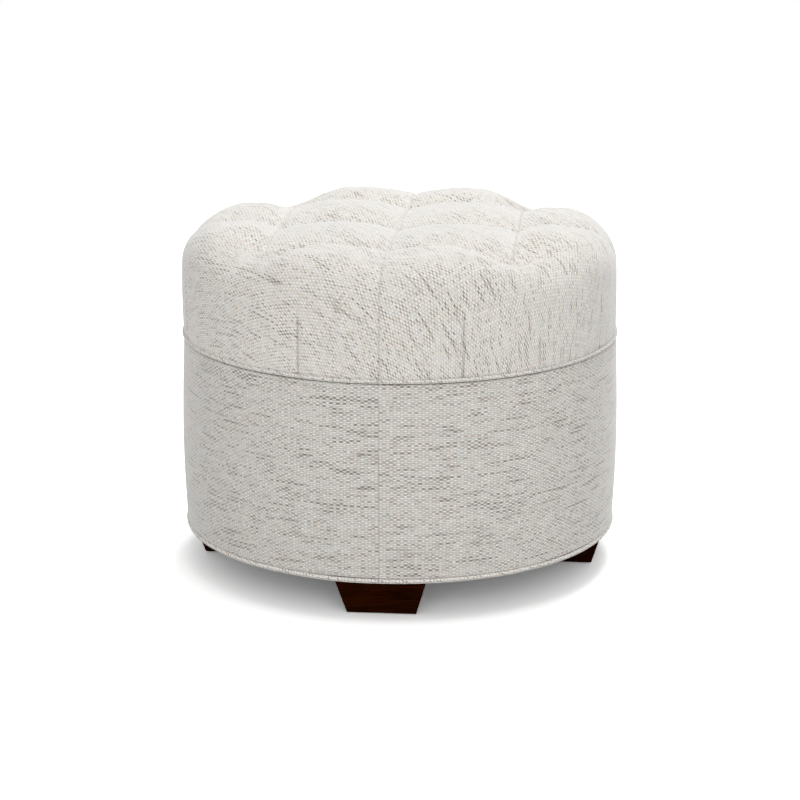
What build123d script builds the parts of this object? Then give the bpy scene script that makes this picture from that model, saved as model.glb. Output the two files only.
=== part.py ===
from build123d import *
import math
import os

os.makedirs("parts", exist_ok=True)

# Round tufted ottoman table. The origin is on the floor under its centre.
# The front is -Y: a leg, the side seam and a column of tufts face it. All sizes are in millimetres.

# Heights, from the floor up
pad_thickness = 1.0
leg_height = 57.0
dust_cover_thickness = 0.8
fabric_thickness = 1.2
base_board_thickness = 15.0
post_height = 243.0
deck_thickness = 18.0
foam_thickness = 96.0
cushion_height = 152.0

# Radii of the drum, from the inside out
frame_radius = 292.0
wrap_thickness = 2.5
padding_thickness = 7.7
soft_clearance = 0.3

# Piping: a covered cord round the waist, and a thicker one round the bottom edge
piping_proud = 1.0
piping_height = 5.6
bottom_piping_height = 6.2
bottom_piping_depth = 5.5
piping_flat_share = 0.45

# Cushion: the cover hangs as a skirt on the deck's edge, swells past a waist, and turns in at a round shoulder.
# The filling stops short of its side.
skirt_margin = 2.0
waist_height = 18.0
cushion_overhang = 7.0
shoulder_radius = 57.0
shoulder_rise = 1.0
shoulder_facets = 3
filling_margin = 18.0

# Tufts stand in a square grid, and a hump fills each square of it
tufts_across = 3
tuft_spacing = 165.0
hump_radius = 250.0

# Tufting twine
twine_width = 2.4
knot_width = 11.0
knot_height = 4.0
needle_clearance = 0.3
deck_hole_width = 7.0

# Frame posts
post_count = 8
post_width = 38.0
post_edge_margin = 9.0

# What is turned in under the base board
band_turn_in = 30.0
dust_cover_overlap = 16.0

# Legs
leg_foot_width = 93.0
leg_top_width = 126.0
leg_setback = 0.4
leg_arris = 0.8
pad_width = 60.0

# Hanger bolts and their tee nuts
bolt_radius = 4.0
bolt_grip = 34.0
bolt_end_room = 3.0
bolt_tip = 2.0
bolt_clearance = 0.15
tee_nut_wall = 1.1
tee_nut_clearance = 0.15
tee_nut_length = 11.0
tee_nut_flange_width = 23.0
tee_nut_flange_thickness = 1.5
dust_cover_hole_clearance = 1.5

# Screws that join the boards to the posts
screw_width = 4.2
screw_length = 52.0
screw_head_width = 9.0
screw_head_depth = 3.5
screw_clearance = 0.2

overrun = 5.0

# The places of the legs, as turns from +X in degrees
leg_turns = {"front": -90, "right": 0, "back": 90, "left": 180}

# Levels that follow from the heights
leg_top = pad_thickness + leg_height
turn_in_bottom = leg_top + dust_cover_thickness
board_bottom = turn_in_bottom + fabric_thickness
board_top = board_bottom + base_board_thickness
deck_bottom = board_top + post_height
deck_top = deck_bottom + deck_thickness
crest = deck_top + cushion_height
piping_level = deck_bottom + deck_thickness / 2
piping_top = piping_level + piping_height / 2
piping_bottom = piping_level - piping_height / 2
band_top = piping_bottom - soft_clearance
skirt_bottom = deck_bottom + skirt_margin
foam_bottom = deck_top + soft_clearance
foam_top = foam_bottom + foam_thickness
filling_bottom = foam_top + soft_clearance
waist_bottom = piping_top + soft_clearance
waist_top = waist_bottom + waist_height
shoulder_level = crest + shoulder_rise - shoulder_radius
humps_foot = crest - shoulder_radius

# Radii that follow from the drum
wrap_radius = frame_radius + wrap_thickness
skirt_inner_radius = wrap_radius + soft_clearance
skirt_radius = skirt_inner_radius + fabric_thickness
padding_radius = skirt_inner_radius + padding_thickness
band_inner_radius = padding_radius + soft_clearance
band_radius = band_inner_radius + fabric_thickness
piping_radius = band_radius + piping_proud
bottom_piping_inner_radius = piping_radius - bottom_piping_depth
cushion_radius = skirt_radius + cushion_overhang
foam_radius = skirt_inner_radius - soft_clearance
filling_radius = cushion_radius - filling_margin
turn_in_radius = band_radius - band_turn_in
dust_cover_radius = turn_in_radius + dust_cover_overlap
post_centre_radius = frame_radius - post_edge_margin - post_width / 2

# The legs stand as far out as the bottom piping leaves room for their top corners
leg_corner_radius = bottom_piping_inner_radius - leg_setback
leg_top_outside = math.sqrt(leg_corner_radius**2 - (leg_top_width / 2) ** 2)
leg_centre_radius = leg_top_outside - leg_top_width / 2

tee_nut_radius = bolt_radius + bolt_clearance + tee_nut_wall
small_round_sides = 10
on_its_foot = (Align.CENTER, Align.CENTER, Align.MIN)


def save(name, shape):
    """Write one piece, or one group of like pieces."""
    export_step(shape, f"parts/{name}.step")


def disc(radius, bottom, thickness):
    return Pos(0, 0, bottom) * Cylinder(radius, thickness, align=on_its_foot)


def bar(width, bottom, height, sides):
    """An upright bar with flat sides, width across its corners."""
    return Pos(0, 0, bottom) * extrude(RegularPolygon(width / 2, sides), height)


def hexagon(width, bottom, height):
    return bar(width, bottom, height, 6)


def rod(radius, bottom, height):
    """A small round bar or bore that the upholstery hides, drawn with flats."""
    return bar(2 * radius, bottom, height, small_round_sides)


def turned(*corners):
    """A solid of revolution from the corners of its section, each a radius and a height."""
    return revolve(Plane.XZ * make_face(Polyline(*corners, close=True)), Axis.Z, 360)


def tuft_places():
    half = (tufts_across - 1) / 2
    steps = [(i - half) * tuft_spacing for i in range(tufts_across)]
    return [Pos(x, y, 0) for x in steps for y in steps]


def hump_places():
    """The squares between the tufts, and one more row all round that runs over the rim."""
    half = tufts_across / 2
    steps = [(i - half) * tuft_spacing for i in range(tufts_across + 1)]
    return [Pos(x, y, 0) for x in steps for y in steps]


def post_turns():
    """The posts stand evenly, and none stands over a leg."""
    turn = 360 / post_count
    return [(i + 0.5) * turn for i in range(post_count)]


def tuft_level():
    """Where four humps meet at a pinch in the cover."""
    corner = tuft_spacing / math.sqrt(2)
    return crest - hump_radius + math.sqrt(hump_radius**2 - corner**2)


def hump():
    """The part of a sphere over one square of the grid."""
    ball = Pos(0, 0, crest - hump_radius) * Rot(90, 0, 0) * Sphere(hump_radius)
    square = Pos(0, 0, humps_foot) * Box(tuft_spacing, tuft_spacing, shoulder_radius, align=on_its_foot)
    return ball & square


def cushion_body():
    """The cushion before it is tufted: the skirt, the waist, the drawn-in side and the round shoulder."""
    shoulder_middle = (cushion_radius - shoulder_radius, shoulder_level)
    arc = CenterArc(shoulder_middle, shoulder_radius, 0, 90)
    bends = [arc @ (i / shoulder_facets) for i in range(shoulder_facets + 1)]
    return turned(
        (0, skirt_bottom),
        (skirt_radius, skirt_bottom),
        (skirt_radius, waist_bottom),
        (cushion_radius, waist_top),
        *[(bend.X, bend.Y) for bend in bends],
        (0, shoulder_level + shoulder_radius),
    )


def cover_underside():
    """The level inside the cover at its pinches, which the layers below stop short of."""
    return tuft_level() - fabric_thickness


def top_cover():
    """The cover with the loft that swells its humps and side. It thins to plain cloth at the skirt."""
    core = disc(2 * cushion_radius, skirt_bottom, humps_foot - skirt_bottom)
    tufted = cushion_body() & (core + [place * hump() for place in hump_places()])
    foam_room = disc(skirt_inner_radius, skirt_bottom - overrun, filling_bottom - skirt_bottom + overrun)
    filling_room = disc(filling_radius + soft_clearance, skirt_bottom, cover_underside() - skirt_bottom)
    return tufted - foam_room - filling_room


def soft_layer(radius, bottom, top):
    """A round slab inside the cover, pierced by the twine."""
    hole = hexagon(twine_width + 2 * needle_clearance, bottom - overrun, top - bottom + 2 * overrun)
    return disc(radius, bottom, top - bottom) - [place * hole for place in tuft_places()]


def seat_foam():
    return soft_layer(foam_radius, foam_bottom, foam_top)


def fibre_filling():
    return soft_layer(filling_radius, filling_bottom, cover_underside() - soft_clearance)


def tuft_twine():
    """Each twine runs from under a pinch in the cover, through the cushion and deck, to a knot below."""
    top = cover_underside() - soft_clearance
    line = hexagon(twine_width, deck_bottom, top - deck_bottom)
    knot = hexagon(knot_width, deck_bottom - knot_height, knot_height)
    return Compound([place * (line + knot) for place in tuft_places()])


def frame_screw(gap=0, lead=0):
    """A screw that points up from its head. With a gap and a lead it is the hole for one."""
    shank = hexagon(screw_width + 2 * gap, 0, screw_length + gap)
    head = hexagon(screw_head_width + 2 * gap, -lead, screw_head_depth + gap + lead)
    return shank + head


def board_screws(gap=0, lead=0):
    """The screws up through the base board, one into each post."""
    screw = Pos(post_centre_radius, 0, board_bottom) * frame_screw(gap, lead)
    return [Rot(0, 0, turn) * screw for turn in post_turns()]


def deck_screws(gap=0, lead=0):
    """The screws down through the deck, one into each post."""
    screw = Pos(post_centre_radius, 0, deck_top) * Rot(180, 0, 0) * frame_screw(gap, lead)
    return [Rot(0, 0, turn) * screw for turn in post_turns()]


def deck_panel():
    """The round board under the cushion, drilled for the twine and for the screws."""
    bore = hexagon(deck_hole_width, deck_bottom - overrun, deck_thickness + 2 * overrun)
    bores = [place * bore for place in tuft_places()]
    return disc(wrap_radius, deck_bottom, deck_thickness) - bores - deck_screws(screw_clearance, overrun)


def frame_post(turn):
    """One upright, bored at each end for its screw."""
    post = Pos(post_centre_radius, 0, board_top) * Box(post_width, post_width, post_height, align=on_its_foot)
    holes = board_screws(screw_clearance, overrun) + deck_screws(screw_clearance, overrun)
    return Rot(0, 0, turn) * post - holes


def at_legs(piece):
    """A piece drawn for the leg at +X, repeated at every leg."""
    return [Rot(0, 0, turn) * piece for turn in leg_turns.values()]


def base_board():
    """The round board that carries the posts and takes the tee nuts for the legs."""
    bore = rod(tee_nut_radius + tee_nut_clearance, board_bottom - overrun, base_board_thickness + 2 * overrun)
    bores = at_legs(Pos(leg_centre_radius, 0, 0) * bore)
    return disc(frame_radius, board_bottom, base_board_thickness) - bores - board_screws(screw_clearance, overrun)


def drum_wrap():
    """Thin fibreboard bent round the boards and posts."""
    return turned(
        (frame_radius, board_bottom),
        (wrap_radius, board_bottom),
        (wrap_radius, deck_bottom),
        (frame_radius, deck_bottom),
    )


def side_padding():
    bottom = board_bottom + soft_clearance
    top = skirt_bottom - soft_clearance
    return turned(
        (skirt_inner_radius, bottom),
        (padding_radius, bottom),
        (padding_radius, top),
        (skirt_inner_radius, top),
    )


def base_band():
    """The fabric round the drum, turned in and stapled under the base board."""
    return turned(
        (turn_in_radius, turn_in_bottom),
        (band_radius, turn_in_bottom),
        (band_radius, band_top),
        (band_inner_radius, band_top),
        (band_inner_radius, board_bottom),
        (turn_in_radius, board_bottom),
    )


def piping(inner_radius, level, height):
    """A ring of piping: a full cord with a flat nose, drawn in to the seam that holds it."""
    flat = piping_flat_share * height / 2
    fullest = piping_radius - height / 2
    return turned(
        (inner_radius, level),
        (fullest, level - height / 2),
        (piping_radius, level - flat),
        (piping_radius, level + flat),
        (fullest, level + height / 2),
    )


def waist_piping():
    return piping(skirt_radius + soft_clearance, piping_level, piping_height)


def bottom_piping():
    level = turn_in_bottom - soft_clearance - bottom_piping_height / 2
    return piping(bottom_piping_inner_radius, level, bottom_piping_height)


def dust_cover():
    """The cloth under the base board, pierced for the four bolts."""
    hole = rod(bolt_radius + dust_cover_hole_clearance, leg_top - overrun, 2 * overrun)
    holes = at_legs(Pos(leg_centre_radius, 0, 0) * hole)
    return disc(dust_cover_radius, leg_top, dust_cover_thickness) - holes


def leg(turn):
    """A tapered block, wider at its top, with softened arrises and a blind hole for its bolt."""
    inset = (leg_top_width - leg_foot_width) / 2
    far = leg_top_width - inset
    upturned = Wedge(
        leg_top_width, leg_height, leg_top_width, inset, inset, far, far,
        align=(Align.CENTER, Align.MIN, Align.CENTER),
    )
    block = Pos(0, 0, leg_top) * Rot(-90, 0, 0) * upturned
    arrises = block.edges().group_by(Axis.Z)[:-1]
    block = chamfer([edge for group in arrises for edge in group], leg_arris)
    depth = bolt_grip + bolt_end_room
    hole = rod(bolt_radius + bolt_clearance, leg_top - depth, depth + overrun)
    return Rot(0, 0, turn) * Pos(leg_centre_radius, 0, 0) * (block - hole)


def foot_pad(turn):
    """A square of felt under one leg."""
    pad = Box(pad_width, pad_width, pad_thickness, align=on_its_foot)
    return Rot(0, 0, turn) * Pos(leg_centre_radius, 0, 0) * pad


def hanger_bolts():
    """One in each leg's top, up through the dust cover and the base board."""
    bottom = leg_top - bolt_grip
    top = board_top + tee_nut_flange_thickness + bolt_tip
    return Compound(at_legs(Pos(leg_centre_radius, 0, 0) * rod(bolt_radius, bottom, top - bottom)))


def tee_nuts():
    """Their barrels sit in the base board and their flanges lie on it."""
    barrel = rod(tee_nut_radius, board_top - tee_nut_length, tee_nut_length)
    flange = hexagon(tee_nut_flange_width, board_top, tee_nut_flange_thickness)
    bore = rod(bolt_radius + bolt_clearance, board_bottom, base_board_thickness + overrun)
    return Compound(at_legs(Pos(leg_centre_radius, 0, 0) * (barrel + flange - bore)))


save("top_cover", top_cover())
save("fibre_filling", fibre_filling())
save("seat_foam", seat_foam())
save("tuft_twine", tuft_twine())
save("deck_panel", deck_panel())
for number, turn in enumerate(post_turns(), start=1):
    save(f"frame_post_{number}", frame_post(turn))
save("base_board", base_board())
save("deck_screws", Compound(deck_screws()))
save("board_screws", Compound(board_screws()))
save("drum_wrap", drum_wrap())
save("side_padding", side_padding())
save("base_band", base_band())
save("waist_piping", waist_piping())
save("bottom_piping", bottom_piping())
save("dust_cover", dust_cover())
for side, turn in leg_turns.items():
    save(f"leg_{side}", leg(turn))
    save(f"foot_pad_{side}", foot_pad(turn))
save("hanger_bolts", hanger_bolts())
save("tee_nuts", tee_nuts())
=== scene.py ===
import math

import bpy
import numpy as np
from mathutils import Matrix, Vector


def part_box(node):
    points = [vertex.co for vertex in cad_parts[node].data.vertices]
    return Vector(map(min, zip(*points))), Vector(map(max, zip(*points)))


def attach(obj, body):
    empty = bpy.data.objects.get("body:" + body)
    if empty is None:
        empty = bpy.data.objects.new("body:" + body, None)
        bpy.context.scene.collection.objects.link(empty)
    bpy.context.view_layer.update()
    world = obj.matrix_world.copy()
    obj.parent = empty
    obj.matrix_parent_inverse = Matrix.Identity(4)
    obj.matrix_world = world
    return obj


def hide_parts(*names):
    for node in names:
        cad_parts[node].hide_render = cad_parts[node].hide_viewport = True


# The looks of a round tufted ottoman table. Everything is in metres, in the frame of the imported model:
# the floor is at z = 0 and the front is -Y. Heights and radii come from a node's box where it has them.

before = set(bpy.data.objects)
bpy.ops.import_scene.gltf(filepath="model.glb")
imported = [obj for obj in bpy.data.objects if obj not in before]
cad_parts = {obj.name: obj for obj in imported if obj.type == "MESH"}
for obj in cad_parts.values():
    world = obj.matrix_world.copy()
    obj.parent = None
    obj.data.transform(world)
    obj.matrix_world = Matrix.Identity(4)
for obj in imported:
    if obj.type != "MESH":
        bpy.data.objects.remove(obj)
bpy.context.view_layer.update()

MM = 0.001
QUARTERS = 4

# Cushion: a flat top that falls a little to its outer humps, a round shoulder, a swelling side, a tuck
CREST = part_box("top_cover")[1].z
CROWN_DROP = 4 * MM
CROWN_START = 200 * MM
SHOULDER_RADIUS = 57 * MM
CUSHION_RADIUS = 303.3 * MM
SIDE_SWELL = 0.9 * MM
WELT_RISE = 0.5 * MM
WAIST_LEVEL = (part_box("waist_piping")[0].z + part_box("waist_piping")[1].z) / 2 + WELT_RISE
WAIST_TUCK = 0.6 * MM
WAIST_TUCK_HEIGHT = 6 * MM
# Painted shade along the tuck under the waist welt, and how far up it reaches
WAIST_PAINTED_SHADE = 0.3 * MM
WAIST_PAINTED_SHADE_REACH = 3.4 * MM
SKIRT_RADIUS = 295.9 * MM
SKIRT_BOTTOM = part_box("top_cover")[0].z
COVER_INSIDE = [(294.9 * MM, 63 * MM), (284 * MM, 51 * MM), (262 * MM, 44 * MM)]
FABRIC_THICKNESS = 1.2 * MM

# Tufts stand in a square grid. A hump fills each square inside it, and eight more run over the rim.
TUFT_SPACING = 165 * MM
HUMP_HALF = TUFT_SPACING / 2
HUMP_DROP = 15 * MM
HUMP_FULLNESS = 2.2
TUFT_EASE = 6 * MM
OUTER_SINK = 2.5 * MM
OUTER_SINK_REACH = 40 * MM
OUTER_RISE = 55 * MM
CORNER_DROP = 26 * MM
CORNER_REACH = 25 * MM
PINCH_DEPTH = 2.6 * MM
PINCH_RADIUS = 5 * MM
DIMPLE_DEPTH = 1.2 * MM
DIMPLE_RADIUS = 16 * MM
PLEAT_DEPTH = 2.5 * MM
PLEAT_WIDTH = 1.8 * MM
PLEAT_LIP = 0.9 * MM
PLEAT_LIP_WIDTH = 6 * MM
SIDE_PLEAT_DEPTH = 2.6 * MM
SIDE_VALLEY_DEPTH = 1.2 * MM
SIDE_VALLEY_WIDTH = 14 * MM
# Painted shade inside the pleats
CREASE_PAINTED_SHADE = 0.16 * MM
PULL_DEPTH = 0.45 * MM
PULL_REACH = 24 * MM
PULLS = 11
UNEVENNESS = 1.2 * MM
UNEVEN_LENGTH = 260 * MM
UNEVEN_RING = 0.3

# Darts take in the side of the cushion beside each pleat
DART_TURN = math.radians(21)
DART_HEIGHT = 98 * MM
DART_FADE = 30 * MM
DART_DEPTH = 3.4 * MM
DART_WIDTH = 1.5 * MM
# Painted shade inside the darts
DART_PAINTED_SHADE = 0.27 * MM
DART_VALLEY_DEPTH = 0.9 * MM
DART_VALLEY_WIDTH = 12 * MM

# Mesh spacing of the cushion
HUMP_STEPS = 64
RING_STEPS_TOP = 34
RING_STEPS_SHOULDER = 34
RING_STEPS_SIDE = 34

# What makes each piece uneven in its own way, the same every time
CUSHION_SEED = 11
BAND_SEED = 5
WELT_SEED = 3
SLAB_SEED = 17
WADDING_SEED = 23
DUST_SEED = 29
STAPLE_SEED = 31


class Material:
    """A material built as a formula: each call adds a node and gives back its output."""

    def __init__(self, name):
        self.material = bpy.data.materials.new(name)
        self.material.use_nodes = True
        self.tree = self.material.node_tree
        self.shader = self.tree.nodes["Principled BSDF"]

    def node(self, kind, inputs=(), **settings):
        node = self.tree.nodes.new(kind)
        for key, value in settings.items():
            setattr(node, key, value)
        for key, value in dict(inputs).items():
            self.set(node.inputs[key], value)
        return node

    def set(self, socket, value):
        if isinstance(value, bpy.types.NodeSocket):
            self.tree.links.new(value, socket)
        else:
            socket.default_value = value

    def math(self, operation, *values, clamp=False):
        node = self.node("ShaderNodeMath", enumerate(values), operation=operation, use_clamp=clamp)
        return node.outputs[0]

    def vector(self, x=0.0, y=0.0, z=0.0):
        return self.node("ShaderNodeCombineXYZ", {"X": x, "Y": y, "Z": z}).outputs[0]

    def split(self, vector):
        return self.node("ShaderNodeSeparateXYZ", {"Vector": vector}).outputs

    def noise(self, vector, scale=1.0, detail=2.0, roughness=0.5):
        inputs = {"Vector": vector, "Scale": scale, "Detail": detail, "Roughness": roughness}
        return self.node("ShaderNodeTexNoise", inputs, noise_dimensions="3D").outputs["Fac"]

    def white_noise(self, vector):
        node = self.node("ShaderNodeTexWhiteNoise", {"Vector": vector}, noise_dimensions="3D")
        return node.outputs["Value"]

    def ramp(self, value, stops):
        """stops are (place, colour) pairs."""
        node = self.node("ShaderNodeValToRGB", {"Fac": value})
        elements = node.color_ramp.elements
        while len(elements) < len(stops):
            elements.new(1.0)
        for element, (place, colour) in zip(elements, stops):
            element.position = place
            element.color = (*colour, 1.0)
        return node.outputs["Color"]

    def mix(self, factor, a, b, blend_type="MIX"):
        node = self.node("ShaderNodeMix", data_type="RGBA", blend_type=blend_type)
        colours = [socket for socket in node.inputs if socket.type == "RGBA"]
        self.set(node.inputs["Factor"], factor)
        self.set(colours[0], a)
        self.set(colours[1], b)
        return [socket for socket in node.outputs if socket.type == "RGBA"][0]

    def grey(self, value):
        parts = {"Red": value, "Green": value, "Blue": value}
        return self.node("ShaderNodeCombineColor", parts).outputs[0]

    def bump(self, height, distance, strength=1.0, normal=None):
        inputs = {"Height": height, "Distance": distance, "Strength": strength}
        if normal is not None:
            inputs["Normal"] = normal
        return self.node("ShaderNodeBump", inputs).outputs["Normal"]

    def finish(self, **inputs):
        for key, value in inputs.items():
            self.set(self.shader.inputs[key.replace("_", " ")], value)
        return self.material


# Yarn colours, in linear light
IVORY = (0.87, 0.84, 0.79)
PALE = (0.94, 0.925, 0.895)
PINKISH = (0.90, 0.825, 0.785)
BEIGE = (0.88, 0.825, 0.73)
GREENISH = (0.835, 0.84, 0.785)
BLUISH = (0.86, 0.865, 0.87)
OATMEAL = (0.72, 0.68, 0.63)
TAN = (0.54, 0.475, 0.42)
BLUSH = (0.58, 0.495, 0.455)
SAGE = (0.56, 0.56, 0.51)
STONE = (0.54, 0.495, 0.45)
CHARCOAL = (0.37, 0.315, 0.265)

WARP_PITCH = 4.6 * MM
WEFT_PITCH = 2.45 * MM
SLUB_LENGTH = 55 * MM
CLOUD_LENGTH = 95 * MM
CLOUD_HEIGHT = 20 * MM
WEFT_HALF_LENGTH = 0.66
WEFT_HALF_HEIGHT = 0.62
WARP_HALF_LENGTH = 0.58
WARP_HALF_HEIGHT = 0.46
DARK_YARN_THINNER = 0.175
SLUB_SHARE = 0.93
CLOUD_SHARE = 0.4
CHANCE_SHARE = 0.06
STRAND_SHIFT = -0.15
SWAY = 2.6 * MM
SWAY_SCALE = 35.0
PLY_SLANT = 0.6
PLY_TURNS = 26.0
# Painted sheen: how the cloth pales where it turns away from the camera
PAINTED_SHEEN_START = 0.57
PAINTED_SHEEN_GAIN = 1.6
# Painted shade in the gaps between nubs
GAP_SHADE = 0.62
NUB_RISE = 0.85 * MM
FUZZ_RISE = 0.16 * MM
WEFT_TINTS = [
    (0.0, PALE), (0.14, PINKISH), (0.30, IVORY), (0.46, GREENISH), (0.60, PALE), (0.74, BEIGE),
    (0.86, BLUISH), (1.0, IVORY),
]
WARP_TINTS = [
    (0.39, CHARCOAL), (0.43, STONE), (0.47, OATMEAL), (0.52, IVORY), (0.60, IVORY), (0.635, TAN),
    (0.66, BLUSH), (0.69, IVORY), (0.73, SAGE), (0.77, OATMEAL),
]


def tweed(name, turn=0.0, painted_light_tone=1.0, dark=0.0):
    """A plain weave of nubbly yarn: staggered rows of pale weft nubs, and coloured warp between them."""
    m = Material(name)
    cloth = m.node("ShaderNodeAttribute", attribute_name="cloth").outputs["Vector"]
    spin = {"Vector": cloth, "Angle": turn}
    turned = m.node("ShaderNodeVectorRotate", spin, rotation_type="Z_AXIS").outputs[0]
    waves = {"Vector": turned, "Scale": SWAY_SCALE, "Detail": 3.0}
    sway = m.node("ShaderNodeTexNoise", waves).outputs["Color"]
    sway = m.node("ShaderNodeVectorMath", {0: sway, 1: (-0.5, -0.5, -0.5)}, operation="ADD").outputs[0]
    sway = m.node("ShaderNodeVectorMath", {0: sway, "Scale": SWAY}, operation="SCALE").outputs[0]
    swayed = m.node("ShaderNodeVectorMath", {0: turned, 1: sway}, operation="ADD").outputs[0]
    u, v, _ = m.split(swayed)
    along = m.math("DIVIDE", v, WEFT_PITCH)
    row = m.math("FLOOR", along)
    across = m.math("ADD", m.math("DIVIDE", u, WARP_PITCH), row)
    column = m.math("FLOOR", across)

    # How far a point is from the middle of its weft nub and of its warp nub, in pitches
    from_weft = m.math("PINGPONG", m.math("SUBTRACT", across, 0.5), 1.0)
    from_warp = m.math("SUBTRACT", 1.0, from_weft)
    from_row = m.math("SUBTRACT", m.math("FRACT", along), 0.5)

    # Yarn changes along its length and from one yarn to the next, and so does its thickness
    weft_place = m.vector(m.math("DIVIDE", u, SLUB_LENGTH), m.math("MULTIPLY", row, 7.31), 3.0)
    slub = m.noise(weft_place, 1.0, 3.0, 0.5)
    thick = m.noise(weft_place, 2.7, 2.0, 0.5)
    chance = m.white_noise(m.vector(column, row, 1.0))
    cloud_place = m.vector(m.math("DIVIDE", u, CLOUD_LENGTH), m.math("DIVIDE", v, CLOUD_HEIGHT), 7.0)
    cloud = m.noise(cloud_place, 1.0, 2.0, 0.5)
    strand = m.math("MULTIPLY_ADD", cloud, CLOUD_SHARE, STRAND_SHIFT - dark)
    strand = m.math("MULTIPLY_ADD", slub, SLUB_SHARE, strand)
    strand = m.math("MULTIPLY_ADD", chance, CHANCE_SHARE, strand)

    def nub(x, half_x, y, half_y):
        along_nub = m.math("POWER", m.math("DIVIDE", x, half_x), 2.0)
        over_nub = m.math("POWER", m.math("ABSOLUTE", m.math("DIVIDE", y, half_y)), 2.0)
        return m.math("SQRT", m.math("SUBTRACT", 1.0, m.math("ADD", along_nub, over_nub), clamp=True))

    fatness = m.math("MULTIPLY_ADD", thick, 0.4, WEFT_HALF_LENGTH - 0.2)
    weft_nub = nub(from_weft, fatness, from_row, WEFT_HALF_HEIGHT)
    dark_run = m.math("MULTIPLY", m.math("SUBTRACT", 0.45, strand), 14.0, clamp=True)
    warp_half_height = m.math("MULTIPLY_ADD", dark_run, -DARK_YARN_THINNER, WARP_HALF_HEIGHT)
    warp_nub = m.math("MULTIPLY", nub(from_warp, WARP_HALF_LENGTH, from_row, warp_half_height), 0.85)
    height = m.math("MAXIMUM", weft_nub, warp_nub)
    weft_shows = m.math("MULTIPLY_ADD", m.math("SUBTRACT", weft_nub, warp_nub), 4.0, 0.5, clamp=True)

    tint = m.ramp(m.white_noise(m.vector(column, row, 5.0)), WEFT_TINTS)
    stony = m.math("MULTIPLY", m.math("SUBTRACT", 0.42, slub), 6.0, clamp=True)
    weft = m.mix(stony, tint, (*STONE, 1.0))
    warp_shade = m.ramp(strand, WARP_TINTS)
    warp = m.mix(0.5, warp_shade, m.mix(1.0, warp_shade, tint, "MULTIPLY"))
    nubs = m.mix(weft_shows, warp, weft)
    between = m.mix(0.5, warp_shade, (*OATMEAL, 1.0))
    yarn = m.mix(m.math("MULTIPLY", height, 2.5, clamp=True), between, nubs)

    # Every nub's tone differs a little at random, and the gaps between nubs get painted shade
    # The part's tone here is painted light and shade by part
    shade = m.math("MULTIPLY_ADD", chance, 0.15, 0.92 * painted_light_tone)
    gap_painted_shade = m.math("MULTIPLY_ADD", m.math("SQRT", height), 0.42, GAP_SHADE)
    colour = m.mix(1.0, yarn, m.grey(m.math("MULTIPLY", shade, gap_painted_shade)), "MULTIPLY")

    # Painted sheen for the yarn's short hairs: where the cloth turns away from the camera its colour is
    # blended towards pale and the weave fades. Painted shade in sewn creases: the third value of the
    # cloth attribute says how dark, and 1 mm would be black.
    facing = m.node("ShaderNodeLayerWeight", {"Blend": 0.5}).outputs["Facing"]
    painted_sheen = m.math("MULTIPLY", m.math("SUBTRACT", facing, PAINTED_SHEEN_START), PAINTED_SHEEN_GAIN, clamp=True)
    # Painted shade: darkens the colour inside pleats, darts and along the welts
    painted_crease_shade = m.math("MULTIPLY_ADD", m.split(cloth)[2], -1 / MM, 1.0)
    colour = m.mix(1.0, m.mix(painted_sheen, colour, (*PALE, 1.0)), m.grey(painted_crease_shade), "MULTIPLY")

    # Twisted plies run slantwise over each nub
    slant = m.math("ADD", across, m.math("MULTIPLY", along, PLY_SLANT))
    ply = m.math("SINE", m.math("MULTIPLY", slant, PLY_TURNS))
    fuzz = m.math("MULTIPLY_ADD", ply, 0.12, m.noise(swayed, 2400.0, 2.0, 0.6))
    normal = m.bump(fuzz, FUZZ_RISE, 0.6)
    normal = m.bump(height, NUB_RISE, m.math("MULTIPLY_ADD", painted_sheen, -0.6, 0.9), normal)
    return m.finish(
        Base_Color=colour, Normal=normal, Roughness=0.95, Specular_IOR_Level=0.12,
        Sheen_Weight=0.7, Sheen_Roughness=0.4,
    )


def felted(name, colour, spread=0.12, scale=900.0, bump=0.4 * MM):
    """Wadding, felt, foam or bonded cloth: soft fibres with no weave."""
    m = Material(name)
    place = m.node("ShaderNodeTexCoord").outputs["Object"]
    fibres = m.noise(place, scale, 3.0, 0.6)
    cloudy = m.noise(place, 25.0, 2.0, 0.5)
    shade = m.math("MULTIPLY_ADD", m.math("ADD", fibres, cloudy), spread, 1.0 - spread)
    tinted = m.mix(1.0, (*colour, 1.0), m.grey(shade), "MULTIPLY")
    normal = m.bump(fibres, bump)
    return m.finish(Base_Color=tinted, Normal=normal, Roughness=0.95, Specular_IOR_Level=0.1)


def timber(name, light, dark, grain=(1.0, 14.0, 14.0), roughness=0.6, specular=0.3, rings=60.0):
    """Wood with its grain along one axis, given by how far each axis is squeezed."""
    m = Material(name)
    place = m.node("ShaderNodeTexCoord").outputs["Object"]
    squeezed = m.node("ShaderNodeMapping", {"Vector": place, "Scale": grain}).outputs[0]
    figure = m.noise(squeezed, rings / 4, 4.0, 0.6)
    pores = m.noise(squeezed, rings * 3, 3.0, 0.7)
    mixed = m.math("MULTIPLY_ADD", pores, 0.35, m.math("MULTIPLY", figure, 0.65))
    colour = m.ramp(mixed, [(0.30, dark), (0.68, light)])
    glossy = m.math("MULTIPLY_ADD", pores, 0.15, roughness - 0.07)
    normal = m.bump(pores, 0.15 * MM, 0.5)
    return m.finish(Base_Color=colour, Normal=normal, Roughness=glossy, Specular_IOR_Level=specular)


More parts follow.
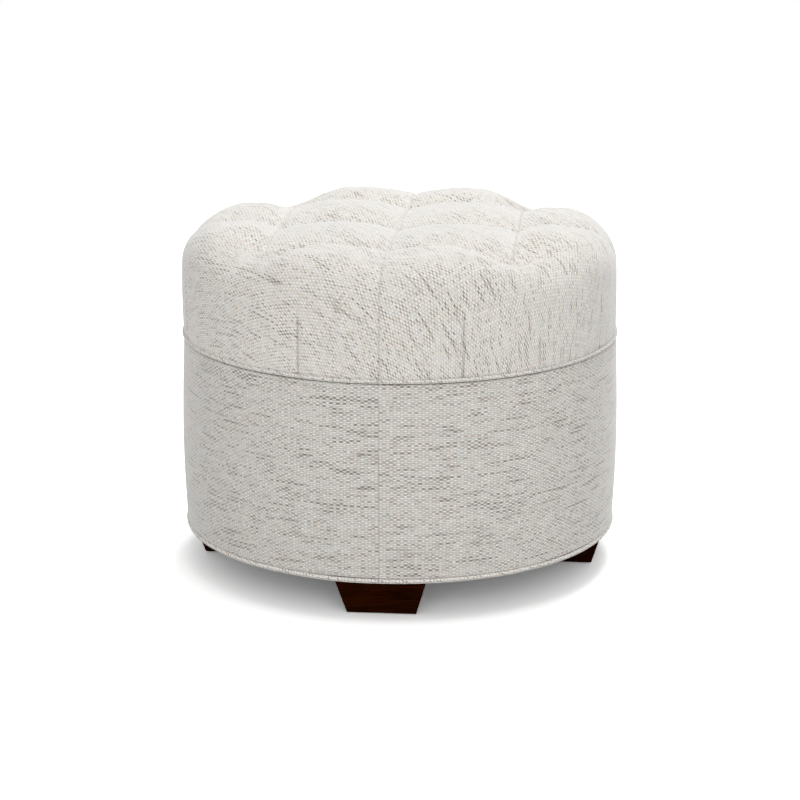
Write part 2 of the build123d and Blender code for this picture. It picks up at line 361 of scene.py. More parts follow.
def plywood(name, light, dark, ply=3 * MM):
    """Boards of layered veneer: the layers show on the edges and the grain on the faces."""
    m = Material(name)
    place = m.node("ShaderNodeTexCoord").outputs["Object"]
    _, _, z = m.split(place)
    layer = m.math("FLOORED_MODULO", m.math("FLOOR", m.math("DIVIDE", z, ply)), 2.0)
    grain = m.node("ShaderNodeMapping", {"Vector": place, "Scale": (1.0, 12.0, 12.0)}).outputs[0]
    figure = m.noise(grain, 12.0, 4.0, 0.6)
    mixed = m.math("ADD", m.math("MULTIPLY", figure, 0.8), m.math("MULTIPLY", layer, 0.2))
    colour = m.ramp(mixed, [(0.30, dark), (0.70, light)])
    return m.finish(Base_Color=colour, Normal=m.bump(figure, 0.3 * MM, 0.4), Roughness=0.7)


def plated(name, colour):
    """Zinc-plated steel with fine handling marks."""
    m = Material(name)
    place = m.node("ShaderNodeTexCoord").outputs["Object"]
    marks = m.noise(place, 300.0, 3.0, 0.6)
    rough = m.math("MULTIPLY_ADD", marks, 0.25, 0.25)
    tinted = m.mix(1.0, (*colour, 1.0), m.grey(m.math("MULTIPLY_ADD", marks, 0.2, 0.9)), "MULTIPLY")
    return m.finish(Base_Color=tinted, Roughness=rough, Metallic=1.0)


SLUB_TURN = math.radians(45)
# The third number of each tweed is painted light and shade by part: the same cloth is made lighter on
# the cushion and the welts and darker on the band
MATERIALS = {
    "cover_fabric": tweed("cover_tweed", SLUB_TURN, 1.15),
    "band_fabric": tweed("band_tweed", 0.0, 0.99),
    "piping_fabric": tweed("piping_tweed", SLUB_TURN, 1.25, -0.08),
    "fibre_wadding": felted("wadding", (0.86, 0.86, 0.84)),
    "foam": felted("foam", (0.80, 0.68, 0.36), 0.08, 700.0, 0.6 * MM),
    "felt": felted("felt", (0.035, 0.03, 0.028)),
    "dust_cloth": felted("dust_cloth", (0.022, 0.022, 0.023), 0.2, 1400.0, 0.2 * MM),
    "twine": felted("twine", (0.62, 0.55, 0.42), 0.2, 1800.0),
    "fibreboard": felted("fibreboard", (0.24, 0.15, 0.08), 0.2, 500.0, 0.1 * MM),
    "board": plywood("plywood", (0.55, 0.37, 0.19), (0.38, 0.23, 0.10)),
    "post_timber": timber("pine", (0.62, 0.43, 0.22), (0.44, 0.27, 0.12), (14.0, 14.0, 1.0)),
    "espresso_wood": timber(
        "espresso_wood", (0.036, 0.0072, 0.0010), (0.0009, 0.0001, 0.0), (1.0, 1.0, 13.0),
        roughness=0.5, specular=0.0, rings=90.0,
    ),
    "zinc_steel": plated("zinc_steel", (0.60, 0.60, 0.58)),
}


def dress(piece, material):
    """Gives a piece its material."""
    piece.data.materials.clear()
    piece.data.materials.append(MATERIALS[material])


def piece_from(name, points, faces, material, replaced=(), cloth=None):
    """A mesh piece with its place on the body, its material and its weave coordinates, whose third value
    is painted crease shade.
    """
    mesh = bpy.data.meshes.new(name)
    mesh.from_pydata(np.asarray(points, float).reshape(-1, 3).tolist(), [], faces)
    mesh.validate()
    mesh.polygons.foreach_set("use_smooth", [True] * len(mesh.polygons))
    if cloth is not None:
        weave = mesh.attributes.new("cloth", "FLOAT_VECTOR", "POINT")
        weave.data.foreach_set("vector", np.asarray(cloth, np.float32).ravel())
    piece = bpy.data.objects.new(name, mesh)
    bpy.context.scene.collection.objects.link(piece)
    dress(piece, material)
    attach(piece, "root")
    if replaced:
        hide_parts(*replaced)
    return piece


def ring_faces(rings):
    """Quads between closed rings of point numbers, from the top down. They look outward and up."""
    faces = []
    for low, high in zip(rings[1:], rings[:-1]):
        low_next = np.roll(low, -1)
        high_next = np.roll(high, -1)
        faces += np.stack([low, low_next, high_next, high], 1).tolist()
    return faces


def ring_numbers(rows):
    """The point numbers of each row, when all rows are stacked in order."""
    count = len(rows[0])
    return [i * count + np.arange(count) for i in range(len(rows))]


def smooth_step(x):
    """An even rise from 0 to 1 as x goes from 0 to 1."""
    x = np.clip(x, 0, 1)
    return x * x * (3 - 2 * x)


def crowded(count, places, reach, strength):
    """Shares from 0 to 1 that stand closer together near the given places."""
    fine = np.linspace(0, 1, 4001)
    density = 1 + sum(strength * np.exp(-np.abs(fine - place) / reach) for place in places)
    total = np.concatenate([[0], np.cumsum((density[1:] + density[:-1]) / 2)])
    return np.interp(np.linspace(0, 1, count + 1), total / total[-1], fine)


def ripple(x, y, seed, wavelength):
    """Smooth unevenness between about -1 and 1, the same every time."""
    waves = np.random.default_rng(seed)
    total = np.zeros(np.broadcast(x, y).shape)
    for _ in range(6):
        turn = waves.uniform(0, math.tau)
        length = wavelength * waves.uniform(0.7, 1.5)
        total = total + np.sin(
            (x * math.cos(turn) + y * math.sin(turn)) * math.tau / length + waves.uniform(0, math.tau)
        )
    return total / 3


TUFTS = [(x * TUFT_SPACING, y * TUFT_SPACING) for x in (-1, 0, 1) for y in (-1, 0, 1)]


def pinches(x, y):
    """How far the cover is drawn down at the tufts, with pulls that fan out from each."""
    depth = np.zeros(x.shape)
    for number, (tuft_x, tuft_y) in enumerate(TUFTS):
        away = np.hypot(x - tuft_x, y - tuft_y)
        turn = np.arctan2(y - tuft_y, x - tuft_x)
        depth += PINCH_DEPTH * np.exp(-((away / PINCH_RADIUS) ** 2))
        depth += DIMPLE_DEPTH * np.exp(-away / DIMPLE_RADIUS)
        fan = np.cos(PULLS * turn + number) * (away / PULL_REACH) * np.exp(1 - away / PULL_REACH)
        depth += PULL_DEPTH * fan
    return depth


def pleats(lines, depth=PLEAT_DEPTH):
    """How deep the narrow folds of cloth are, and how much painted shade darkens them. A fold's line is
    given as (away, side).

    The deepest groove near a point counts, and a fold has a lip where its side is above zero.
    """
    groove = np.max([np.exp(-away / PLEAT_WIDTH) for away, _ in lines], 0)
    lip = np.max([np.where(side > 0, np.exp(-away / PLEAT_LIP_WIDTH), 0) for away, side in lines], 0)
    # The second value is painted shade inside the fold
    return depth * groove - PLEAT_LIP * lip * (1 - groove) * depth / PLEAT_DEPTH, CREASE_PAINTED_SHADE * groove ** 2


def hump_rise(x, y):
    """How far below its crest a hump's surface lies, at shares x and y of the way to its pleats."""
    x, y = np.abs(x) ** HUMP_FULLNESS, np.abs(y) ** HUMP_FULLNESS
    return HUMP_DROP * (x + y) - TUFT_EASE * x * y


FLAT_RADIUS = CUSHION_RADIUS - SHOULDER_RADIUS
ARC_LENGTH = SHOULDER_RADIUS * math.pi / 2
SHOULDER_LEVEL = CREST - CROWN_DROP - SHOULDER_RADIUS
SIDE_LENGTH = SHOULDER_LEVEL - WAIST_LEVEL


def cushion_section(travel):
    """Radius, level and outward direction of the untufted cushion, so far over it from its centre."""
    turn = np.clip((travel - FLAT_RADIUS) / SHOULDER_RADIUS, 0, math.pi / 2)
    down = np.clip(travel - FLAT_RADIUS - ARC_LENGTH, 0, None)
    share = np.clip(down / SIDE_LENGTH, 0, 1)
    above_waist = SIDE_LENGTH - down
    tuck = WAIST_TUCK * np.clip(1 - above_waist / WAIST_TUCK_HEIGHT, 0, 1) ** 2
    radius = np.where(travel < FLAT_RADIUS, travel, FLAT_RADIUS + SHOULDER_RADIUS * np.sin(turn))
    radius = radius + SIDE_SWELL * np.sin(math.pi * share) - tuck
    level = SHOULDER_LEVEL + SHOULDER_RADIUS * np.cos(turn) - down
    return radius, level, np.sin(turn), np.cos(turn)


def tufted_cushion():
    """The cushion's cover: a square block of mesh inside the outer tufts, then a ring over the rim."""
    dart_share = DART_TURN / math.radians(45)
    half = crowded(HUMP_STEPS, (0, 1, dart_share), 0.02, 6.0) * TUFT_SPACING
    line = np.concatenate([-half[:0:-1], half])
    size = len(line)
    x, y = np.meshgrid(line, line)
    hump_x = np.abs(x) / HUMP_HALF - 1
    hump_y = np.abs(y) / HUMP_HALF - 1
    depth = hump_rise(hump_x, hump_y) + pinches(x, y)
    # The pleats' depth, and painted shade inside them for the cloth attribute's third value
    fold, painted_crease_shade = pleats([
        (np.abs(x), x),
        (np.abs(y), y),
        (TUFT_SPACING - np.abs(x), -np.ones(x.shape)),
        (TUFT_SPACING - np.abs(y), -np.ones(x.shape)),
    ])
    depth += fold
    depth += UNEVENNESS * ripple(x, y, CUSHION_SEED, UNEVEN_LENGTH)
    block = np.stack([x, y, CREST - depth], -1).reshape(-1, 3)
    block_cloth = np.stack([x, y, painted_crease_shade], -1).reshape(-1, 3)
    numbers = np.arange(size * size).reshape(size, size)
    faces = np.stack(
        [numbers[:-1, :-1], numbers[:-1, 1:], numbers[1:, 1:], numbers[1:, :-1]], -1
    ).reshape(-1, 4).tolist()

    # The ring starts at the block's border, taken anticlockwise from its front left corner
    border = np.concatenate([numbers[0, :-1], numbers[:-1, -1], numbers[-1, :0:-1], numbers[:0:-1, 0]])
    start = block[border][:, :2]
    side_share = np.tile(line[:-1] / TUFT_SPACING, QUARTERS)
    quarter = np.repeat(np.arange(QUARTERS), size - 1)
    azimuth = (side_share * 45 + quarter * 90 - 90) * math.pi / 180
    outward = np.stack([np.cos(azimuth), np.sin(azimuth)], -1)
    span = np.linalg.norm(outward * FLAT_RADIUS - start, axis=1)

    top_steps = crowded(RING_STEPS_TOP, (0,), 0.05, 2.5)[1:]
    beyond = np.concatenate([
        FLAT_RADIUS + ARC_LENGTH * np.linspace(0, 1, RING_STEPS_SHOULDER + 1)[1:],
        FLAT_RADIUS + ARC_LENGTH + SIDE_LENGTH * np.linspace(0, 1, RING_STEPS_SIDE + 1)[1:],
    ])
    rows, cloth_rows = [], []
    for step in np.concatenate([top_steps, beyond / FLAT_RADIUS]):
        on_top = step <= 1
        travel = np.full(len(border), max(step, 1.0) * FLAT_RADIUS)
        if on_top:
            plan = start + (outward * FLAT_RADIUS - start) * step
            gone = span * step
            lean, rise = 0.0, 1.0
            outer = (np.hypot(*plan.T) - CROWN_START) / (FLAT_RADIUS - CROWN_START)
            level = CREST - CROWN_DROP * smooth_step(outer)
        else:
            radius, level, lean, rise = cushion_section(travel)
            plan = outward * radius[:, None]
            gone = span + travel - FLAT_RADIUS
        past = (travel - FLAT_RADIUS) / ARC_LENGTH
        valley_fade = 1 - smooth_step(past / 1.15)
        across = np.abs(side_share) * 2 - 1
        inward = np.clip(1 - gone / OUTER_RISE, 0, 1)
        sink = OUTER_SINK * smooth_step(gone / OUTER_SINK_REACH)
        sharp = (HUMP_DROP - TUFT_EASE + sink) * np.abs(across) ** HUMP_FULLNESS
        corner = CORNER_DROP * smooth_step(across)
        opening = np.where(across > 0, smooth_step(gone / CORNER_REACH), 0)
        across_drop = sharp + (corner - sharp) * opening
        depth = across_drop * valley_fade + HUMP_DROP * inward ** HUMP_FULLNESS
        depth += pinches(plan[:, 0], plan[:, 1]) * valley_fade
        away = np.abs(side_share) * math.radians(45) * np.maximum(np.hypot(*plan.T), TUFT_SPACING)
        # Pleats over the rim, with painted shade inside them
        fold, painted_crease_shade = pleats([(gone, np.ones(len(gone))), (away, side_share)])
        shallow, _ = pleats([(away, side_share)], SIDE_PLEAT_DEPTH)
        shallow += SIDE_VALLEY_DEPTH * np.exp(-(away / SIDE_VALLEY_WIDTH) ** 2)
        depth += fold * valley_fade + shallow * (1 - valley_fade)
        dart_away = np.abs(np.abs(side_share) * math.radians(45) - DART_TURN) * CUSHION_RADIUS
        above = level - WAIST_LEVEL
        dart = DART_DEPTH * np.exp(-dart_away / DART_WIDTH)
        dart += DART_VALLEY_DEPTH * np.exp(-((dart_away / DART_VALLEY_WIDTH) ** 2))
        dart_shows = smooth_step((DART_HEIGHT - above) / DART_FADE) * (past > 0)
        depth += dart * dart_shows
        # Painted shade inside the darts and along the tuck under the waist welt
        painted_crease_shade = np.maximum(painted_crease_shade, DART_PAINTED_SHADE * np.exp(-((dart_away / DART_WIDTH) ** 2)) * dart_shows)
        painted_crease_shade = np.maximum(painted_crease_shade, WAIST_PAINTED_SHADE * np.exp(-((above / WAIST_PAINTED_SHADE_REACH) ** 2)))
        unrolled = (plan[:, 0], plan[:, 1] + (CREST - level))
        depth += UNEVENNESS * ripple(*unrolled, CUSHION_SEED, UNEVEN_LENGTH)
        place = plan - (depth * lean)[:, None] * outward
        rows.append(np.column_stack([place, level - depth * rise]))
        flat = plan if on_top else outward * travel[:, None]
        cloth_rows.append(np.column_stack([flat, painted_crease_shade]))
    start_number = len(block)
    count = len(border)
    rings = [border] + [start_number + i * count + np.arange(count) for i in range(len(rows))]
    faces += ring_faces(rings)

    # The skirt, then the inside of the cover
    last_cloth = cloth_rows[-1]
    inside = [
        (SKIRT_RADIUS, WAIST_LEVEL - 2 * MM),
        (SKIRT_RADIUS, SKIRT_BOTTOM),
        (COVER_INSIDE[0][0], SKIRT_BOTTOM),
        *[(radius, CREST - below) for radius, below in COVER_INSIDE],
    ]
    for radius, level in inside:
        rows.append(np.column_stack([outward * radius, np.full(count, level)]))
        cloth_rows.append(last_cloth)
        rings.append(start_number + (len(rows) - 1) * count + np.arange(count))
    faces += ring_faces(rings[-len(inside) - 1:])
    faces.append(rings[-1].tolist())
    points = np.concatenate([block, *rows])
    cloth = np.concatenate([block_cloth, *cloth_rows])
    piece = piece_from(
        "tufted_cover", points, faces, "cover_fabric", ("top_cover",), cloth
    )
    return piece


# Drum band
BAND_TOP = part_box("base_band")[1].z
BAND_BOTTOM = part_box("base_band")[0].z
BAND_GAP = 0.3 * MM
BAND_RADIUS = 303.2 * MM
BAND_SWELL = 3.9 * MM
BAND_COLUMNS = 480
BAND_ROWS = 56
BAND_TURN_IN_RADIUS = 274 * MM
BAND_INSIDE = 302.8 * MM
BAND_INSIDE_TOP = 297 * MM
BAND_INSIDE_DROP = 8 * MM
BAND_UNEVENNESS = 0.5 * MM
BAND_UNEVEN_LENGTH = 240 * MM
BAND_CORNER = 2.2 * MM
BAND_EDGE_TUCK = 4.8 * MM
BAND_TUCK = 3.84 * MM
BAND_TUCK_REACH = 1.3 * MM
# Painted shade along the band's top, under the waist welt: how far down it reaches and how dark
BAND_SHADE = 1.2 * MM
BAND_PAINTED_SHADE = 0.5 * MM
SEAM_DEPTH = 1.0 * MM
SEAM_WIDTH = 1.1 * MM
SEAM_VALLEY_DEPTH = 0.6 * MM
SEAM_VALLEY_WIDTH = 9 * MM
SEAM_FADE = 7 * MM
GATHERS = 66
GATHER_DEPTH = 0.5 * MM


def band_radius(level):
    share = np.clip((level - BAND_BOTTOM) / (WAIST_LEVEL - BAND_BOTTOM), 0, 1)
    return BAND_RADIUS + BAND_SWELL * np.sin(math.pi * share) ** 0.8


def drum_band():
    """The cloth round the drum: it swells over its wadding, has a front seam and turns in below."""
    quarter = crowded(BAND_COLUMNS // 2, (0,), 0.012, 6.0)
    turns = np.concatenate([quarter, 2 - quarter[-2:0:-1]]) * math.pi
    direction = np.stack([np.sin(turns), -np.cos(turns)], -1)
    from_seam = np.minimum(turns, math.tau - turns)
    away = from_seam * BAND_RADIUS
    seam = SEAM_DEPTH * np.exp(-away / SEAM_WIDTH)
    seam += SEAM_VALLEY_DEPTH * np.exp(-((away / SEAM_VALLEY_WIDTH) ** 2))
    section = [(band_radius(BAND_TOP) - BAND_EDGE_TUCK, BAND_TOP)]
    for share in crowded(BAND_ROWS, (0,), 0.02, 8.0):
        level = BAND_TOP - BAND_GAP - share * (BAND_TOP - BAND_BOTTOM - BAND_CORNER - BAND_GAP)
        tuck = BAND_TUCK * math.exp(-(BAND_TOP - level) / BAND_TUCK_REACH)
        section.append((band_radius(level) - tuck, level))
    corner_radius = section[-1][0] - BAND_CORNER
    for turn in np.linspace(0, math.pi / 2, 5)[1:]:
        section.append((
            corner_radius + BAND_CORNER * math.cos(turn),
            BAND_BOTTOM + BAND_CORNER * (1 - math.sin(turn)),
        ))
    turned_in = np.linspace(corner_radius, BAND_TURN_IN_RADIUS, 8)[1:]
    section += [(radius, BAND_BOTTOM) for radius in turned_in]
    section.append((BAND_TURN_IN_RADIUS, BAND_BOTTOM + FABRIC_THICKNESS))
    rows, cloth_rows = [], []
    travel = 0.0
    for index, (radius, level) in enumerate(section):
        if index:
            travel += math.dist(section[index - 1], (radius, level))
        under = np.clip((corner_radius - radius) / (corner_radius - BAND_TURN_IN_RADIUS), 0, 1)
        place = (np.sin(turns) * UNEVEN_RING + level, np.cos(turns) * UNEVEN_RING + level)
        uneven = BAND_UNEVENNESS * ripple(*place, BAND_SEED, BAND_UNEVEN_LENGTH)
        gathered = GATHER_DEPTH * under * (0.5 + 0.5 * np.sin(turns * GATHERS + 2 * np.sin(turns * 5)))
        sewn = smooth_step((level - BAND_BOTTOM - BAND_CORNER) / SEAM_FADE)
        radial = radius - (seam * sewn + uneven) * (under == 0)
        inner = index == len(section) - 1
        lift = 0 if inner else -gathered + GATHER_DEPTH * under
        rows.append(np.column_stack([direction * radial[:, None], np.full(len(turns), level) + lift]))
        # Painted shade along the top of the band, under the waist welt
        in_shade = level > BAND_TOP - BAND_SHADE and index > 0 and not inner
        shaded = np.full(len(turns), BAND_PAINTED_SHADE if in_shade else 0.0)
        cloth_rows.append(np.column_stack([turns * BAND_RADIUS, np.full(len(turns), -travel), shaded]))
    back = [
        (BAND_INSIDE, BAND_BOTTOM + FABRIC_THICKNESS),
        (BAND_INSIDE, BAND_TOP - BAND_INSIDE_DROP),
        (BAND_INSIDE_TOP, BAND_TOP),
    ]
    for radius, level in back:
        rows.append(np.column_stack([direction * radius, np.full(len(turns), level)]))
        cloth_rows.append(cloth_rows[-1])
    rings = ring_numbers(rows)
    faces = ring_faces([*rings, rings[0]])
    piece = piece_from(
        "drum_band", np.concatenate(rows), faces, "band_fabric", ("base_band",),
        np.concatenate(cloth_rows),
    )
    return piece


# Welts: a cord in a bias strip, joined at the back
WELT_COLUMNS = 720
WELT_SIDES = 16
WELT_LUMP = 0.12 * MM
WELT_LUMPS = 97
WELT_TWISTS = 411
WELT_WANDER = 0.3 * MM
WELT_WANDER_LENGTH = 150 * MM
WELT_JOIN_DEPTH = 0.35 * MM
WELT_JOIN_WIDTH = 1.5 * MM


def welt(name, node, height, proud):
    """A ring of covered cord that stands a little outside the CAD ring it replaces."""
    low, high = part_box(node)
    level = (low.z + high.z) / 2
    radius = height / 2
    ring = high.x + proud - radius
    turns = np.linspace(0, math.tau, WELT_COLUMNS, endpoint=False)
    around = np.linspace(0, math.tau, WELT_SIDES, endpoint=False)
    place = (np.sin(turns) * UNEVEN_RING, np.cos(turns) * UNEVEN_RING)
    wander = WELT_WANDER * ripple(*place, WELT_SEED, WELT_WANDER_LENGTH)
    join = WELT_JOIN_DEPTH * np.exp(-(((turns - math.pi) * ring / WELT_JOIN_WIDTH) ** 2))
    rows, cloth_rows = [], []
    for angle in around:
        lump = np.sin(turns * WELT_TWISTS + 3 * angle) * np.sin(turns * WELT_LUMPS + angle)
        lump = WELT_LUMP * lump
        size = radius + lump - join
        out = ring + size * math.cos(angle)
        up = level + wander + size * math.sin(angle)
        rows.append(np.column_stack([np.sin(turns) * out, -np.cos(turns) * out, up]))
        round_cord = np.full(len(turns), angle * radius)
        cloth_rows.append(np.column_stack([turns * ring, round_cord, 0 * turns]))
    rings = ring_numbers(rows)
    faces = ring_faces([rings[0], *rings[:0:-1], rings[0]])
    return piece_from(
        name, np.concatenate(rows), faces, "piping_fabric", (node,),
        np.concatenate(cloth_rows),
    )


# The soft layers inside, each a slab or ring with rounded edges and an uneven surface
SLAB_COLUMNS = 96
SLAB_EDGE_STEPS = 4
SLAB_SHARES = (0.2, 0.4, 0.6, 0.8)
SLAB_UNEVEN_LENGTH = 90 * MM
WADDING_THICKNESS = 7.6 * MM
WADDING_SINK = 0.6 * MM


def slab(name, node, material, uneven, radius, top, rounding):
    """A round slab of foam or wadding that stands on its node's floor, with rounded edges."""
    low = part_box(node)[0].z
    turns = np.linspace(0, math.tau, SLAB_COLUMNS, endpoint=False)
    circle = np.stack([np.cos(turns), np.sin(turns)], -1)
    edge = radius - rounding
    section = [(share * edge, top) for share in SLAB_SHARES]
    for turn in np.linspace(0, math.pi / 2, SLAB_EDGE_STEPS + 1):
        section.append((edge + rounding * math.sin(turn), top - rounding * (1 - math.cos(turn))))
    for turn in np.linspace(math.pi / 2, 0, SLAB_EDGE_STEPS + 1):
        section.append((edge + rounding * math.sin(turn), low + rounding * (1 - math.cos(turn))))
    section += [(share * edge, low) for share in SLAB_SHARES[::-1]]
    rows = []
    for place, level in section:
        waves = ripple(*(circle * place).T, SLAB_SEED, SLAB_UNEVEN_LENGTH)
        bumps = uneven * (waves / 2 - 0.5)
        inward = np.abs(bumps) * np.sign(level - (low + top) / 2)
        rows.append(np.column_stack([circle * place, level - inward]))
    rings = ring_numbers(rows)
    faces = ring_faces(rings) + [rings[0].tolist(), rings[-1][::-1].tolist()]
    piece = piece_from(name, np.concatenate(rows), faces, material, (node,))
    return piece


def side_wadding():
    """The wadding between the drum's wrap and its band: a soft ring with rounded edges."""
    low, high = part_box("side_padding")
    outer = high.x
    inner = outer - WADDING_THICKNESS
    turns = np.linspace(0, math.tau, SLAB_COLUMNS, endpoint=False)
    circle = np.stack([np.cos(turns), np.sin(turns)], -1)
    middle = (outer + inner) / 2
    half = (outer - inner) / 2
    bend = [(half * math.sin(t), half * (1 - math.cos(t))) for t in np.linspace(-1, 1, 7) * math.pi / 2]
    section = [(middle + out, high.z - down) for out, down in bend]
    section += [(outer, level) for level in np.linspace(high.z - half, low.z + half, 9)[1:-1]]
    section += [(middle + out, low.z + up) for out, up in bend[::-1]]
    rows = []
    for radius, level in section:
        waves = ripple(circle[:, 0], circle[:, 1] + level * 8, WADDING_SEED, 1.0)
        sink = WADDING_SINK * (0.5 + 0.5 * waves) * (radius > middle)
        rows.append(np.column_stack([circle * (radius - sink)[:, None], np.full(len(turns), level)]))
    rings = ring_numbers(rows)
    faces = ring_faces([*rings, rings[0]])
    piece = piece_from(
        "side_wadding", np.concatenate(rows), faces, "fibre_wadding", ("side_padding",)
    )
    return piece


# Underside
STAPLES = 44
STAPLE_CROWN = 11 * MM
STAPLE_WIRE = 0.6 * MM
STAPLE_INSET = 8 * MM
STAPLE_DROP = 0.3 * MM
STAPLE_STRAY = 0.18
STAPLE_SKEW = 0.12
DUST_COLUMNS = 180
DUST_SHARES = [*np.linspace(0.05, 0.9, 16), 0.93, 0.95, 0.97, 0.985, 1.0]
DUST_FOLD = 14 * MM
DUST_FOLD_DEPTH = 0.25 * MM
DUST_THICKNESS = 0.55 * MM
DUST_BACK = 0.1 * MM
DUST_SAG = 0.35 * MM
DUST_WAVE = 0.1 * MM
DUST_WAVE_LENGTH = 120 * MM
SCALLOP_DEPTH = 0.1 * MM
SCALLOP_REACH = 16 * MM


def dust_cover_cloth():
    """The bonded cloth under the base, stretched and stapled near its folded edge."""
    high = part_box("dust_cover")[1]
    radius = high.x
    turns = np.linspace(0, math.tau, DUST_COLUMNS, endpoint=False)
    circle = np.stack([np.cos(turns), np.sin(turns)], -1)
    staple_ring = radius - STAPLE_INSET
    rows = []
    for share in DUST_SHARES:
        distance = share * radius
        edge = math.exp(-abs(distance - staple_ring) / SCALLOP_REACH)
        scallop = SCALLOP_DEPTH * edge * np.cos(turns * STAPLES)
        sag = DUST_SAG * (1 - share**2)
        sag = sag + DUST_WAVE * ripple(*(circle * distance).T, DUST_SEED, DUST_WAVE_LENGTH)
        fold = DUST_FOLD_DEPTH if distance > radius - DUST_FOLD else 0.0
        level = high.z - DUST_THICKNESS - sag * (share < 0.9) + scallop - fold
        rows.append(np.column_stack([circle * distance, np.full(len(turns), level)]))
    for share in DUST_SHARES[::-1]:
        back = np.full(len(turns), high.z - DUST_BACK)
        rows.append(np.column_stack([circle * share * radius, back]))
    rings = ring_numbers(rows)
    faces = ring_faces(rings[::-1]) + [rings[0][::-1].tolist(), rings[-1].tolist()]
    piece = piece_from(
        "dust_cover_cloth", np.concatenate(rows), faces, "dust_cloth", ("dust_cover",)
    )
    return piece


def box_points(low, high):
    """The corners of an upright box, in the order that BOX_FACES counts them."""
    (x0, y0, z0), (x1, y1, z1) = low, high
    return np.array([[x, y, z] for x in (x0, x1) for y in (y0, y1) for z in (z0, z1)])


BOX_FACES = [(0, 1, 3, 2), (4, 6, 7, 5), (0, 4, 5, 1), (2, 3, 7, 6), (0, 2, 6, 4), (1, 5, 7, 3)]


def staple_ring(name, count, ring, level):
    """Staples driven flush, as a ring of short flattened wires."""
    points, faces = [], []
    wobble = np.random.default_rng(STAPLE_SEED)
    for number in range(count):
        turn = math.tau * (number + wobble.uniform(-STAPLE_STRAY, STAPLE_STRAY)) / count
        skew = wobble.uniform(-STAPLE_SKEW, STAPLE_SKEW)
        low = (-STAPLE_WIRE / 2, -STAPLE_CROWN / 2, 0)
        wire = box_points(low, (STAPLE_WIRE / 2, STAPLE_CROWN / 2, STAPLE_WIRE))
        cos, sin = math.cos(turn + skew), math.sin(turn + skew)
        x, y, z = wire.T
        spun = np.column_stack([x * cos - y * sin, x * sin + y * cos, z])
        spun += (ring * math.cos(turn), ring * math.sin(turn), level)
        faces += [tuple(corner + len(points) for corner in face) for face in BOX_FACES]
        points += spun.tolist()
    piece = piece_from(name, points, faces, "zinc_steel")
    piece.data.polygons.foreach_set("use_smooth", [False] * len(piece.data.polygons))
    return piece


NODE_MATERIALS = {
    "deck_panel": "board",
    "base_board": "board",
    "drum_wrap": "fibreboard",
    "tuft_twine": "twine",
    "deck_screws": "zinc_steel",
    "board_screws": "zinc_steel",
    "hanger_bolts": "zinc_steel",
    "tee_nuts": "zinc_steel",
}
PREFIX_MATERIALS = {"frame_post": "post_timber", "leg": "espresso_wood", "foot_pad": "felt"}


def dress_nodes():
    """Materials for the CAD nodes that show as they are."""
    for name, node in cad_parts.items():
        kind = NODE_MATERIALS.get(name)
        for prefix, material in PREFIX_MATERIALS.items():
            if name.startswith(prefix):
                kind = material
        if kind:
            dress(node, kind)


# Camera
LENS = 105.8
SENSOR = 36.0
CAMERA_PLACE = (0.290, -3.208, 1.102)
CAMERA_PITCH = math.radians(15.308)


def camera():
    data = bpy.data.cameras.new("camera")
    data.lens = LENS
    data.sensor_width = SENSOR
    eye = bpy.data.objects.new("camera", data)
    eye.location = CAMERA_PLACE
    heading = math.atan2(CAMERA_PLACE[0], -CAMERA_PLACE[1])
    eye.rotation_euler = (math.pi / 2 - CAMERA_PITCH, 0, heading)
    bpy.context.scene.collection.objects.link(eye)
    bpy.context.scene.camera = eye


# Floor and light
FLOOR_HALF = 3.2
FLOOR_ALBEDO = 0.8
FLOOR_SEEN = 1.80
FLOOR_GLOW = 0.08
WORLD_STRENGTH = 0.48
LAMP_AIM_LEVEL = 0.25


def camera_sees(tree, plain, seen):
    """Picks the second value for rays from the camera, and for what gloss and glass show."""
    path = tree.nodes.new("ShaderNodeLightPath")
    shows = path.outputs["Is Camera Ray"]
    for kind in ("Is Glossy Ray", "Is Transmission Ray"):
        either = tree.nodes.new("ShaderNodeMath")
        either.operation = "MAXIMUM"
        tree.links.new(shows, either.inputs[0])
        tree.links.new(path.outputs[kind], either.inputs[1])
        shows = either.outputs[0]
    blend = tree.nodes.new("ShaderNodeMapRange")
    blend.inputs["To Min"].default_value = plain
    blend.inputs["To Max"].default_value = seen
    tree.links.new(shows, blend.inputs["Value"])
    return blend.outputs["Result"]


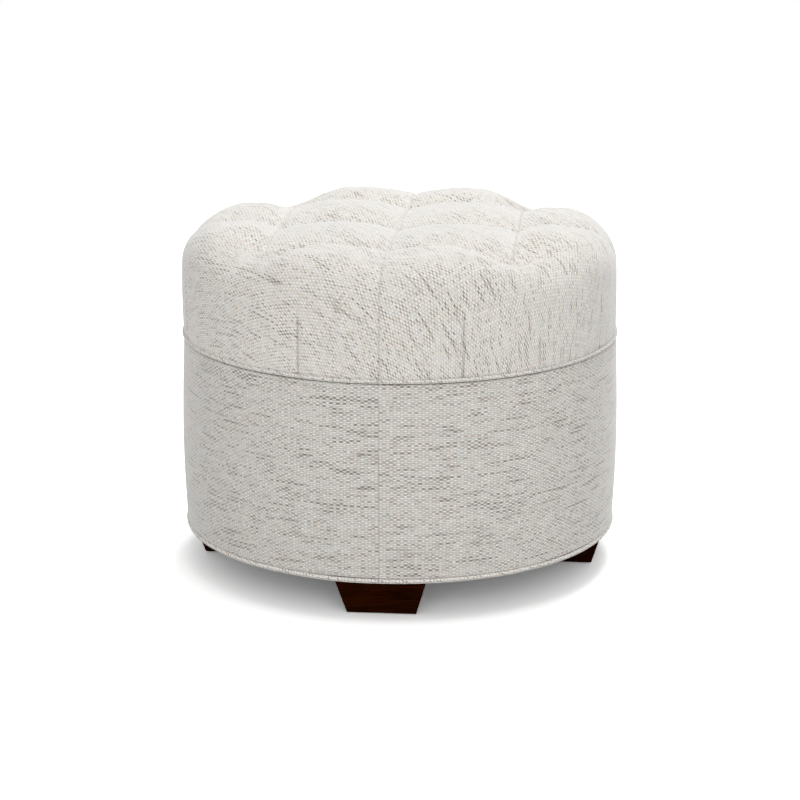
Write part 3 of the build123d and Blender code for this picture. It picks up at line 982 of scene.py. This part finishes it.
def floor():
    h = FLOOR_HALF
    mesh = bpy.data.meshes.new("floor")
    mesh.from_pydata([(-h, -h, 0), (h, -h, 0), (h, h, 0), (-h, h, 0)], [], [(0, 1, 2, 3)])
    ground = bpy.data.objects.new("floor", mesh)
    bpy.context.scene.collection.objects.link(ground)
    material = bpy.data.materials.new("floor")
    material.use_nodes = True
    tree = material.node_tree
    tree.nodes.clear()
    diffuse = tree.nodes.new("ShaderNodeBsdfDiffuse")
    level = camera_sees(tree, FLOOR_ALBEDO, FLOOR_SEEN)
    tree.links.new(level, diffuse.inputs["Color"])
    glow = tree.nodes.new("ShaderNodeEmission")
    tree.links.new(camera_sees(tree, 0.0, FLOOR_GLOW), glow.inputs["Strength"])
    both = tree.nodes.new("ShaderNodeAddShader")
    tree.links.new(diffuse.outputs[0], both.inputs[0])
    tree.links.new(glow.outputs[0], both.inputs[1])
    output = tree.nodes.new("ShaderNodeOutputMaterial")
    tree.links.new(both.outputs[0], output.inputs["Surface"])
    mesh.materials.append(material)


def lamp(name, place, size, power):
    """A soft box that faces the middle of the object."""
    data = bpy.data.lights.new(name, "AREA")
    data.shape = "RECTANGLE"
    data.size, data.size_y = size
    data.energy = power
    light = bpy.data.objects.new(name, data)
    light.location = place
    aim = (-place[0], -place[1], LAMP_AIM_LEVEL - place[2])
    flat = math.hypot(aim[0], aim[1])
    light.rotation_euler = (math.atan2(flat, -aim[2]), 0, math.atan2(-aim[0], aim[1]))
    bpy.context.scene.collection.objects.link(light)


def light():
    world = bpy.data.worlds.new("studio")
    bpy.context.scene.world = world
    world.use_nodes = True
    tree = world.node_tree
    background = tree.nodes["Background"]
    background.inputs["Color"].default_value = (1, 1, 1, 1)
    tree.links.new(camera_sees(tree, WORLD_STRENGTH, 1.0), background.inputs["Strength"])
    lamp("overhead", (0.2, -0.2, 3.0), (1.2, 1.2), 10)
    lamp("behind", (0.4, 1.3, 2.7), (1.4, 1.4), 32)
    lamp("low_behind", (0.2, 3.4, 1.9), (3.5, 1.2), 20)
    lamp("front", (0.5, -3.8, 1.5), (4.0, 2.4), 48.5)
    bpy.context.scene.view_settings.view_transform = "Standard"


tufted_cushion()
slab(
    "wadding_layer", "fibre_filling", "fibre_wadding",
    uneven=0.8 * MM, radius=258 * MM, top=CREST - 45 * MM, rounding=5 * MM,
)
foam_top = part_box("seat_foam")[1]
slab(
    "foam_slab", "seat_foam", "foam",
    uneven=0.4 * MM, radius=foam_top.x, top=foam_top.z, rounding=12 * MM,
)
side_wadding()
drum_band()
welt("waist_welt", "waist_piping", height=5.0 * MM, proud=0.5 * MM)
welt("bottom_welt", "bottom_piping", height=6.2 * MM, proud=0.3 * MM)
dust_cover_cloth()
dust_low, dust_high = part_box("dust_cover")
staple_ring("dust_cover_staples", STAPLES, dust_high.x - STAPLE_INSET, dust_low.z - STAPLE_DROP)
dress_nodes()
camera()
floor()
light()
